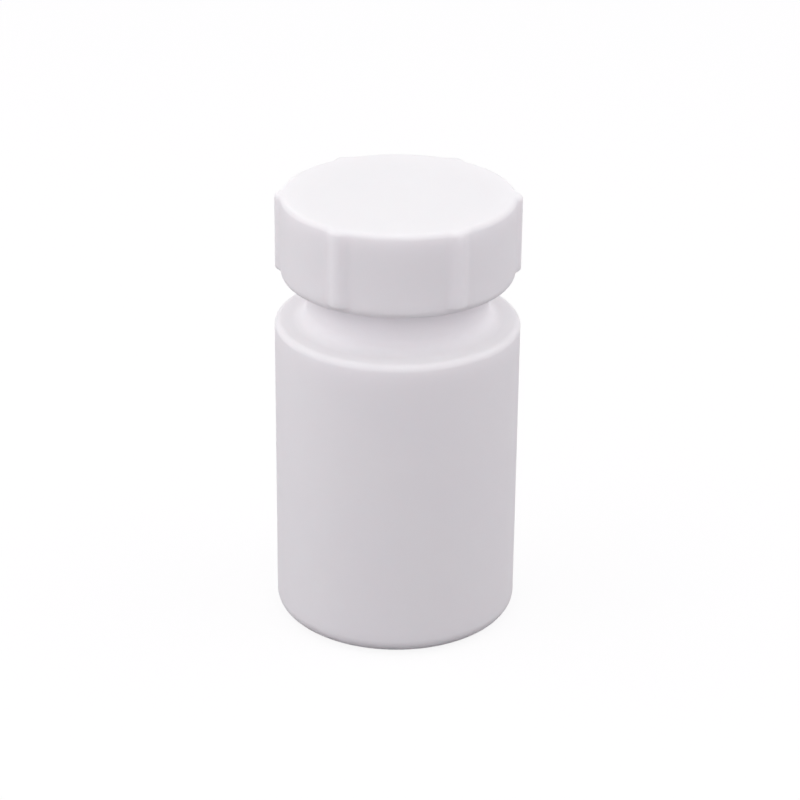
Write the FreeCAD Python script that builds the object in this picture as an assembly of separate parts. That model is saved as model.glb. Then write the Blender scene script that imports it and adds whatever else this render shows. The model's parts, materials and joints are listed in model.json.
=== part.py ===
import FreeCAD, Part
import math
import os

# Wide-mouth reagent bottle of white fluoropolymer: a turned bottle, a ribbed screw cap and a loose sealing disc.
# Sizes are millimetres. The base stands on Z = 0 and the axis of the bottle is Z.

# Bottle, outside.
body_diameter = 54.0
body_height = 70.0
base_edge_radius = 3.3
shoulder_edge_radius = 1.4
shoulder_width = 7.0
neck_fillet = 3.0
bare_neck = 9.9
rim_edge_radius = 0.8

# Bottle, inside.
body_wall = 3.5
base_thickness = 4.0
shoulder_thickness = 4.0
neck_wall = 3.5
inner_corner_radius = 3.0
bore_edge_radius = 1.2

# Screw cap. The thread room is the radial space that the two screw threads share.
cap_height = 19.1
cap_wall = 3.4
cap_top_thickness = 3.5
cap_top_edge_radius = 1.2
cap_lower_edge_radius = 1.9
cap_mouth_chamfer = 0.8
thread_room = 2.2

# Grip ribs round the cap.
rib_count = 6
rib_height = 1.2
rib_crest_radius = 2.4
rib_blend_radius = 4.5
rib_end_height = 1.5
rib_end_radius = 0.6
rib_start_angle = 0.0

# Sealing disc between the rim and the ceiling of the cap.
disc_thickness = 1.5
disc_clearance = 0.15
disc_edge_chamfer = 0.3

# Radii and heights that follow from the sizes above.
body_radius = body_diameter / 2
neck_radius = body_radius - shoulder_width
bore_radius = neck_radius - neck_wall
cavity_radius = body_radius - body_wall
cap_bore_radius = neck_radius + thread_room
drum_radius = cap_bore_radius + cap_wall
disc_radius = cap_bore_radius - disc_clearance
cap_bottom_z = body_height + bare_neck
cap_top_z = cap_bottom_z + cap_height
ceiling_z = cap_top_z - cap_top_thickness
rim_z = ceiling_z - disc_thickness
rib_end_z = cap_bottom_z + rib_end_height
same_place = 1e-6


def on_profile(radius, z):
    """A point of a turned profile, in the XZ plane."""
    return FreeCAD.Vector(radius, 0, z)


def round_axis(radius, angle, z):
    """A point at a radius and an angle, in radians, round the axis."""
    return FreeCAD.Vector(radius * math.cos(angle), radius * math.sin(angle), z)


def rounded_corner(before, at, after, radius):
    """Start, middle and end of the arc that rounds a corner of a profile."""
    back = (before - at).normalize()
    ahead = (after - at).normalize()
    half = back.getAngle(ahead) / 2
    tangent = radius / math.tan(half)
    inwards = (back + ahead).normalize()
    middle = at + inwards * (radius / math.sin(half) - radius)
    return at + back * tangent, middle, at + ahead * tangent


def turned(corners):
    """A solid of revolution about Z from a closed outline of (radius, height, corner radius)."""
    points = [on_profile(radius, z) for radius, z, _ in corners]
    arcs = []
    for index, at in enumerate(points):
        rounding = corners[index][2]
        after = points[(index + 1) % len(points)]
        if rounding > 0:
            arcs.append(rounded_corner(points[index - 1], at, after, rounding))
        else:
            arcs.append((at, at, at))
    edges = []
    for index, (start, middle, end) in enumerate(arcs):
        next_start = arcs[(index + 1) % len(arcs)][0]
        if not start.isEqual(end, same_place):
            edges.append(Part.Arc(start, middle, end).toShape())
        if not end.isEqual(next_start, same_place):
            edges.append(Part.LineSegment(end, next_start).toShape())
    face = Part.Face(Part.Wire(edges))
    return face.revolve(FreeCAD.Vector(0, 0, 0), FreeCAD.Vector(0, 0, 1), 360)


def edges_at(solid, z):
    """The edges of a solid that lie in the level plane at a height."""
    level = []
    for edge in solid.Edges:
        box = edge.BoundBox
        if abs(box.ZMin - z) < same_place and abs(box.ZMax - z) < same_place:
            level.append(edge)
    return level


def bottle():
    """Body, shoulder, neck and inside, turned in one outline."""
    return turned([
        (0, 0, 0),
        (body_radius, 0, base_edge_radius),
        (body_radius, body_height, shoulder_edge_radius),
        (neck_radius, body_height, neck_fillet),
        (neck_radius, rim_z, rim_edge_radius),
        (bore_radius, rim_z, rim_edge_radius),
        (bore_radius, body_height - shoulder_thickness, bore_edge_radius),
        (cavity_radius, body_height - shoulder_thickness, inner_corner_radius),
        (cavity_radius, base_thickness, inner_corner_radius),
        (0, base_thickness, 0),
    ])


def blend_arc(centre, start, end):
    """The short hollow arc about a centre from one point to another."""
    way = (start - centre).normalize() + (end - centre).normalize()
    middle = centre + way.normalize() * rib_blend_radius
    return Part.Arc(start, middle, end).toShape()


def rib_outline(angle, z):
    """One rib as a round crest between two hollow blends, with the angle from its middle to its foot."""
    crest_distance = drum_radius + rib_height - rib_crest_radius
    blend_distance = drum_radius + rib_blend_radius
    reach = rib_crest_radius + rib_blend_radius
    cosine = (crest_distance ** 2 + blend_distance ** 2 - reach ** 2) / (2 * crest_distance * blend_distance)
    spread = math.acos(cosine)
    crest_centre = round_axis(crest_distance, angle, z)
    sides = []
    for side in (-spread, spread):
        centre = round_axis(blend_distance, angle + side, z)
        foot = round_axis(drum_radius, angle + side, z)
        meeting = crest_centre + (centre - crest_centre) * (rib_crest_radius / reach)
        sides.append((centre, foot, meeting))
    (near_centre, near_foot, near_meeting), (far_centre, far_foot, far_meeting) = sides
    tip = round_axis(drum_radius + rib_height, angle, z)
    edges = [
        blend_arc(near_centre, near_foot, near_meeting),
        Part.Arc(near_meeting, tip, far_meeting).toShape(),
        blend_arc(far_centre, far_meeting, far_foot),
    ]
    return edges, spread


def ribbed_grip():
    """The upper part of the cap with its ribs, rounded along the top edge and at the ribs' lower ends."""
    step = 2 * math.pi / rib_count
    edges = []
    for index in range(rib_count):
        angle = math.radians(rib_start_angle) + index * step
        rib, spread = rib_outline(angle, rib_end_z)
        start = round_axis(drum_radius, angle + spread, rib_end_z)
        middle = round_axis(drum_radius, angle + step / 2, rib_end_z)
        end = round_axis(drum_radius, angle + step - spread, rib_end_z)
        edges += rib + [Part.Arc(start, middle, end).toShape()]
    face = Part.Face(Part.Wire(edges))
    grip = face.extrude(FreeCAD.Vector(0, 0, cap_top_z - rib_end_z))
    grip = grip.makeFillet(cap_top_edge_radius, edges_at(grip, cap_top_z))
    return grip.makeFillet(rib_end_radius, edges_at(grip, rib_end_z))


def cap_drum():
    """The plain round lower part of the cap, which the ribs stop short of."""
    return turned([
        (0, cap_bottom_z, 0),
        (drum_radius, cap_bottom_z, cap_lower_edge_radius),
        (drum_radius, rib_end_z + cap_lower_edge_radius, 0),
        (0, rib_end_z + cap_lower_edge_radius, 0),
    ])


def cap_hollow():
    """The space inside the cap, with a lead-in chamfer at its mouth."""
    return turned([
        (0, cap_bottom_z - cap_mouth_chamfer, 0),
        (cap_bore_radius + 2 * cap_mouth_chamfer, cap_bottom_z - cap_mouth_chamfer, 0),
        (cap_bore_radius, cap_bottom_z + cap_mouth_chamfer, 0),
        (cap_bore_radius, ceiling_z, 0),
        (0, ceiling_z, 0),
    ])


def screw_cap():
    """Ribbed grip on its plain drum, hollow from below."""
    return ribbed_grip().fuse(cap_drum()).removeSplitter().cut(cap_hollow())


def sealing_disc():
    """A flat disc that lies on the rim, loose inside the cap."""
    return turned([
        (0, rim_z, 0),
        (disc_radius - disc_edge_chamfer, rim_z, 0),
        (disc_radius, rim_z + disc_edge_chamfer, 0),
        (disc_radius, ceiling_z - disc_edge_chamfer, 0),
        (disc_radius - disc_edge_chamfer, ceiling_z, 0),
        (0, ceiling_z, 0),
    ])


os.makedirs("parts", exist_ok=True)
for build in (bottle, screw_cap, sealing_disc):
    shape = build()
    solid = shape.Solids[0] if len(shape.Solids) == 1 else shape
    solid.exportStep("parts/" + build.__name__ + ".step")
    print(build.__name__, len(shape.Solids), "solid", solid.isValid(), round(solid.Volume), "mm3")
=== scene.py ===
import json
import math

import bmesh
import bpy
from mathutils import Matrix, Vector


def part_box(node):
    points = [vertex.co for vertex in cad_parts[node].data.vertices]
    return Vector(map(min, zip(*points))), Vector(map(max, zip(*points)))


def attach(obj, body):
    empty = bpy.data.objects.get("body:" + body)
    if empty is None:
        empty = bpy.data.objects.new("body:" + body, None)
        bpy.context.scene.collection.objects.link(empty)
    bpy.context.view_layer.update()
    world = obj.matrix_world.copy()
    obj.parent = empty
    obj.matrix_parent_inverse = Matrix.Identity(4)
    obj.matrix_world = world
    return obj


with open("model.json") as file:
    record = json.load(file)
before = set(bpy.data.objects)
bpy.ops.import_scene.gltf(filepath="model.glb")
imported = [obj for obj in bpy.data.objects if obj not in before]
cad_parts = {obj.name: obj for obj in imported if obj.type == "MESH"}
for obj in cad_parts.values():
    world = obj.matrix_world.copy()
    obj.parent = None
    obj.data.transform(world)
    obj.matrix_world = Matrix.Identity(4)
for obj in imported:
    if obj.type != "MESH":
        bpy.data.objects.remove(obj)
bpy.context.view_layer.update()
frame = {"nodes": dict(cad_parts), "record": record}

# Lengths are metres. The bottle stands on Z = 0 with its axis on Z, and the camera looks along +Y.
MM = 0.001
FULL_TURN = 2 * math.pi

# Camera, fitted to the outline of the bottle in the 800 by 800 frame.
FRAME_PIXELS = 800
SENSOR_WIDTH = 36.0
CAMERA_ELEVATION = math.radians(24.9)
CAMERA_DISTANCE = 600 * MM
CAMERA_ROLL = math.radians(0.53)
CAMERA_NEAREST = 10 * MM
CAMERA_FARTHEST = 20.0
FOCAL_PIXELS = 2689
LOOK_HEIGHT = 48.6 * MM
LOOK_PIXEL = (396.9, 405.0)

# Screw thread. The two ridges share the room between the neck and the bore of the cap.
DISC_CLEARANCE = 0.15 * MM
THREAD_ROOM = 2.2 * MM
RIDGE_HEIGHT = 1.6 * MM
RIDGE_HALF_WIDTH = 1.1 * MM
RIDGE_TURNS = 1.75
RIDGE_RUN_OUT = math.radians(70)
RIDGE_ROOT = 0.15 * MM
RIDGE_BELOW_RIM = 1.8 * MM
CAP_RIDGE_LEAD = 0.5
CREST_FLATNESS = 4
FLANK_STEEPNESS = 0.75
STEPS_PER_TURN = 120
STEPS_ACROSS = 10

# Matt white plastic, in linear colours. The patterns are counted per metre.
PLASTIC_PALE = (0.93, 0.918, 0.935, 1.0)
PLASTIC_DEEP = (0.90, 0.888, 0.905, 1.0)
CLOUDS_PER_METRE = 45.0
GRAINS_PER_METRE = 2600.0
MARKS_PER_METRE = 620.0
MARKS_SHARE = 0.35
RELIEF_STRENGTH = 0.12
RELIEF_DEPTH = 0.02 * MM
ROUGHNESS_LOW = 0.54
ROUGHNESS_HIGH = 0.66
SPECULAR_LEVEL = 0.2
PLASTIC_IOR = 1.35
WALL_SCATTER = 3.0 * MM
RIDGE_SCATTER = 0.3 * MM
SCATTER_BY_COLOUR = (1.0, 0.95, 0.95)

# The studio sky, from the level view (0) to straight up (1). It is brightest at the level of the bottle.
SKY_STRENGTH = 1.52
SKY_STEPS = (
    (0.0, (0.989, 0.92, 0.999, 1.0)),
    (0.35, (0.627, 0.593, 0.633, 1.0)),
    (0.55, (0.493, 0.486, 0.494, 1.0)),
    (0.8, (0.405, 0.413, 0.406, 1.0)),
    (1.0, (0.07, 0.071, 0.07, 1.0)),
)
WHITE = (1.0, 1.0, 1.0, 1.0)

# Soft square lamps that face the middle of the bottle, with their power in watts.
LAMP_TARGET = (0, 0, 50 * MM)
LAMP_SIZE = 0.8
LAMPS = (
    ("left_lamp", (-0.6, 0.0, 0.8), 2.05),
    ("right_lamp", (0.6, 0.0, 0.8), 2.1),
    ("front_lamp", (-0.6, -0.6, 0.5), 1.0),
)

# The floor reflects little light on to the bottle, and its glow makes it look white.
FLOOR_SIZE = 6
FLOOR_COLOUR = (0.20, 0.194, 0.201, 1.0)
FLOOR_ROUGHNESS = 0.9
FLOOR_GLOW = 3.46
FLOOR_GLOW_SHARE = 0.25

# Sockets of a mix node, where one name stands for several kinds of data.
MIX_FACTOR = 0
MIX_NUMBER_A = 2
MIX_NUMBER_B = 3
MIX_NUMBER_RESULT = 0
MIX_COLOUR_A = 6
MIX_COLOUR_B = 7
MIX_COLOUR_RESULT = 2

_, bottle_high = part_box("bottle")
_, disc_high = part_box("sealing_disc")
rim_z = bottle_high.z
cap_bore_radius = disc_high.x + DISC_CLEARANCE
neck_radius = cap_bore_radius - THREAD_ROOM
coupling = frame["record"]["behaviour"]["couplings"][0]
pitch = coupling["ratio"] * FULL_TURN


def new_object(name, data):
    """An object in the scene."""
    made = bpy.data.objects.new(name, data)
    bpy.context.scene.collection.objects.link(made)
    return made


def add_node(tree, kind, **values):
    """A shader node with its settings and unlinked inputs."""
    node = tree.nodes.new(kind)
    for key, value in values.items():
        if hasattr(node, key):
            setattr(node, key, value)
        else:
            node.inputs[key.replace("_", " ").title()].default_value = value
    return node


def new_material(name):
    """A node material with its tree and its principled shader."""
    material = bpy.data.materials.new(name)
    material.use_nodes = True
    tree = material.node_tree
    return material, tree, tree.nodes["Principled BSDF"]


def plastic(name, marks_form, scatter_depth):
    """Matt white fluoropolymer: faint clouding, soft translucency, uneven sheen and fine turning marks.

    The marks are BANDS up a wall or RINGS round a flat face. Light scatters below the surface to a depth.
    """
    material, tree, shader = new_material(name)
    place = add_node(tree, "ShaderNodeTexCoord")

    clouds = add_node(tree, "ShaderNodeTexNoise", scale=CLOUDS_PER_METRE, detail=4.0, roughness=0.6)
    tree.links.new(place.outputs["Object"], clouds.inputs["Vector"])
    tint = add_node(tree, "ShaderNodeMix", data_type="RGBA")
    tint.inputs[MIX_COLOUR_A].default_value = PLASTIC_DEEP
    tint.inputs[MIX_COLOUR_B].default_value = PLASTIC_PALE
    tree.links.new(clouds.outputs["Fac"], tint.inputs[MIX_FACTOR])
    tree.links.new(tint.outputs[MIX_COLOUR_RESULT], shader.inputs["Base Color"])

    sheen = add_node(tree, "ShaderNodeMapRange", to_min=ROUGHNESS_LOW, to_max=ROUGHNESS_HIGH)
    tree.links.new(clouds.outputs["Fac"], sheen.inputs["Value"])
    tree.links.new(sheen.outputs["Result"], shader.inputs["Roughness"])

    grain = add_node(tree, "ShaderNodeTexNoise", scale=GRAINS_PER_METRE, detail=3.0, roughness=0.55)
    tree.links.new(place.outputs["Object"], grain.inputs["Vector"])
    marks = add_node(tree, "ShaderNodeTexWave", scale=MARKS_PER_METRE, distortion=0.4, detail=1.0)
    marks.wave_type = marks_form
    marks.bands_direction = "Z"
    marks.rings_direction = "Z"
    tree.links.new(place.outputs["Object"], marks.inputs["Vector"])
    relief = add_node(tree, "ShaderNodeMix", data_type="FLOAT")
    relief.inputs[MIX_FACTOR].default_value = MARKS_SHARE
    tree.links.new(grain.outputs["Fac"], relief.inputs[MIX_NUMBER_A])
    tree.links.new(marks.outputs["Fac"], relief.inputs[MIX_NUMBER_B])
    bump = add_node(tree, "ShaderNodeBump", strength=RELIEF_STRENGTH, distance=RELIEF_DEPTH)
    tree.links.new(relief.outputs[MIX_NUMBER_RESULT], bump.inputs["Height"])
    tree.links.new(bump.outputs["Normal"], shader.inputs["Normal"])

    shader.inputs["Subsurface Weight"].default_value = 1.0
    shader.inputs["Subsurface Radius"].default_value = SCATTER_BY_COLOUR
    shader.inputs["Subsurface Scale"].default_value = scatter_depth
    shader.inputs["Specular IOR Level"].default_value = SPECULAR_LEVEL
    shader.inputs["IOR"].default_value = PLASTIC_IOR
    return material


def ridge_profile(share):
    """Height of a thread ridge, from 0 to 1, across its width from -1 to 1: a flat crest and steep flanks."""
    return (1 - abs(share) ** CREST_FLATNESS) ** FLANK_STEEPNESS


def thread_ridge(name, wall_radius, outwards, level_z, first_turn):
    """A right-hand helical ridge on a round wall, run out to nothing at both ends.

    It is at the given level where its angle is 0.
    """
    made = bmesh.new()
    sign = 1 if outwards else -1
    steps = round(RIDGE_TURNS * STEPS_PER_TURN)
    rows = []
    for step in range(steps + 1):
        turns = first_turn + step / STEPS_PER_TURN
        angle = turns * FULL_TURN
        to_end = min(step, steps - step) * FULL_TURN / STEPS_PER_TURN
        fade = math.sin(math.pi / 2 * min(1.0, to_end / RIDGE_RUN_OUT))
        row = []
        for across in range(STEPS_ACROSS + 1):
            share = 2 * across / STEPS_ACROSS - 1
            height = ridge_profile(share) * fade * RIDGE_HEIGHT - RIDGE_ROOT
            radius = wall_radius + sign * height
            z = level_z + pitch * turns + share * RIDGE_HALF_WIDTH
            row.append(made.verts.new((radius * math.cos(angle), radius * math.sin(angle), z)))
        rows.append(row)
    for before, after in zip(rows, rows[1:]):
        for across in range(STEPS_ACROSS):
            made.faces.new((before[across], after[across], after[across + 1], before[across + 1]))
        made.faces.new((before[STEPS_ACROSS], after[STEPS_ACROSS], after[0], before[0]))
    made.faces.new(rows[0])
    made.faces.new(list(reversed(rows[-1])))
    bmesh.ops.recalc_face_normals(made, faces=made.faces)
    mesh = bpy.data.meshes.new(name)
    made.to_mesh(mesh)
    made.free()
    mesh.shade_smooth()
    return new_object(name, mesh)


def dress_nodes():
    """The finish of the three solids."""
    finish = {
        "bottle": plastic("bottle_plastic", "BANDS", WALL_SCATTER),
        "screw_cap": plastic("cap_plastic", "RINGS", WALL_SCATTER),
        "sealing_disc": plastic("disc_plastic", "RINGS", WALL_SCATTER),
    }
    for node, material in finish.items():
        solid = frame["nodes"][node]
        solid.data.materials.clear()
        solid.data.materials.append(material)


def add_threads():
    """The neck's thread on the bottle and the cap's thread, half a pitch apart so that they pass.

    The cap's ridge starts part of a turn later, and so stays above the lower edge of the cap.
    """
    level_z = rim_z - RIDGE_BELOW_RIM
    cap_level_z = level_z - pitch / 2
    neck = thread_ridge("neck_thread", neck_radius, True, level_z, -RIDGE_TURNS)
    inner = thread_ridge("cap_thread", cap_bore_radius, False, cap_level_z, CAP_RIDGE_LEAD - RIDGE_TURNS)
    finish = plastic("thread_plastic", "BANDS", RIDGE_SCATTER)
    for ridge, body, slot in (
        (neck, "bottle", "bottle_plastic"),
        (inner, "cap", "cap_plastic"),
    ):
        ridge.data.materials.append(finish)
        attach(ridge, body)


def add_camera():
    """The camera at the photograph's angle, aimed so that the look point falls on its pixel."""
    data = bpy.data.cameras.new("camera")
    data.sensor_width = SENSOR_WIDTH
    data.lens = FOCAL_PIXELS / FRAME_PIXELS * SENSOR_WIDTH
    data.clip_start = CAMERA_NEAREST
    data.clip_end = CAMERA_FARTHEST
    back = Vector((0, -math.cos(CAMERA_ELEVATION), math.sin(CAMERA_ELEVATION)))
    turn = (-back).to_track_quat("-Z", "Y").to_matrix()
    right = turn.col[0]
    up = turn.col[1]
    metres_per_pixel = CAMERA_DISTANCE / FOCAL_PIXELS
    aim = Vector((0, 0, LOOK_HEIGHT))
    aim += right * (FRAME_PIXELS / 2 - LOOK_PIXEL[0]) * metres_per_pixel
    aim += up * (LOOK_PIXEL[1] - FRAME_PIXELS / 2) * metres_per_pixel
    roll = Matrix.Rotation(CAMERA_ROLL, 3, "Z")
    camera = new_object("camera", data)
    camera.matrix_world = Matrix.Translation(aim + back * CAMERA_DISTANCE) @ (turn @ roll).to_4x4()
    bpy.context.scene.camera = camera


def add_lights():
    """Wide soft lamps high on both sides and a lower one at the front left."""
    for name, place, power in LAMPS:
        data = bpy.data.lights.new(name, "AREA")
        data.shape = "SQUARE"
        data.size = LAMP_SIZE
        data.energy = power
        lamp = new_object(name, data)
        lamp.location = place
        facing = Vector(LAMP_TARGET) - Vector(place)
        lamp.rotation_euler = facing.to_track_quat("-Z", "Y").to_euler()


def seen_ray(tree):
    """One for rays that show the background: straight to the camera, mirrored or through glass."""
    path = add_node(tree, "ShaderNodeLightPath")
    first = add_node(tree, "ShaderNodeMath", operation="MAXIMUM")
    tree.links.new(path.outputs["Is Camera Ray"], first.inputs[0])
    tree.links.new(path.outputs["Is Glossy Ray"], first.inputs[1])
    second = add_node(tree, "ShaderNodeMath", operation="MAXIMUM")
    tree.links.new(first.outputs[0], second.inputs[0])
    tree.links.new(path.outputs["Is Transmission Ray"], second.inputs[1])
    return second.outputs[0]


def mix_shaders(tree, share, plain, other, output):
    """The output of a tree as a plain shader that gives way to another one by a share."""
    mix = add_node(tree, "ShaderNodeMixShader")
    tree.links.new(share, mix.inputs[0])
    tree.links.new(plain.outputs[0], mix.inputs[1])
    tree.links.new(other.outputs[0], mix.inputs[2])
    tree.links.new(mix.outputs[0], tree.nodes[output].inputs["Surface"])


def add_world():
    """A soft sky that looks white behind the bottle."""
    world = bpy.data.worlds.new("studio")
    bpy.context.scene.world = world
    world.use_nodes = True
    tree = world.node_tree
    sky = tree.nodes["Background"]
    sky.inputs["Strength"].default_value = SKY_STRENGTH
    place = add_node(tree, "ShaderNodeTexCoord")
    parts = add_node(tree, "ShaderNodeSeparateXYZ")
    tree.links.new(place.outputs["Generated"], parts.inputs[0])
    ramp = add_node(tree, "ShaderNodeValToRGB")
    stops = ramp.color_ramp.elements
    while len(stops) < len(SKY_STEPS):
        stops.new(0.5)
    for stop, (position, colour) in zip(stops, SKY_STEPS):
        stop.position = position
        stop.color = colour
    tree.links.new(parts.outputs["Z"], ramp.inputs[0])
    tree.links.new(ramp.outputs["Color"], sky.inputs["Color"])
    white = add_node(tree, "ShaderNodeBackground", strength=1.0)
    white.inputs["Color"].default_value = WHITE
    mix_shaders(tree, seen_ray(tree), sky, white, "World Output")


def add_floor():
    """A pale floor that looks white and keeps the soft shadow of the bottle."""
    bpy.ops.mesh.primitive_plane_add(size=FLOOR_SIZE)
    floor = bpy.context.object
    floor.name = "floor"
    material, tree, shader = new_material("floor_white")
    shader.inputs["Base Color"].default_value = FLOOR_COLOUR
    shader.inputs["Roughness"].default_value = FLOOR_ROUGHNESS
    shader.inputs["Specular IOR Level"].default_value = 0.0
    glow = add_node(tree, "ShaderNodeEmission", strength=FLOOR_GLOW)
    share = add_node(tree, "ShaderNodeMath", operation="MULTIPLY")
    share.inputs[1].default_value = FLOOR_GLOW_SHARE
    tree.links.new(seen_ray(tree), share.inputs[0])
    mix_shaders(tree, share.outputs[0], shader, glow, "Material Output")
    floor.data.materials.append(material)


dress_nodes()
add_threads()
add_camera()
add_lights()
add_world()
add_floor()
bpy.context.scene.view_settings.view_transform = "Standard"
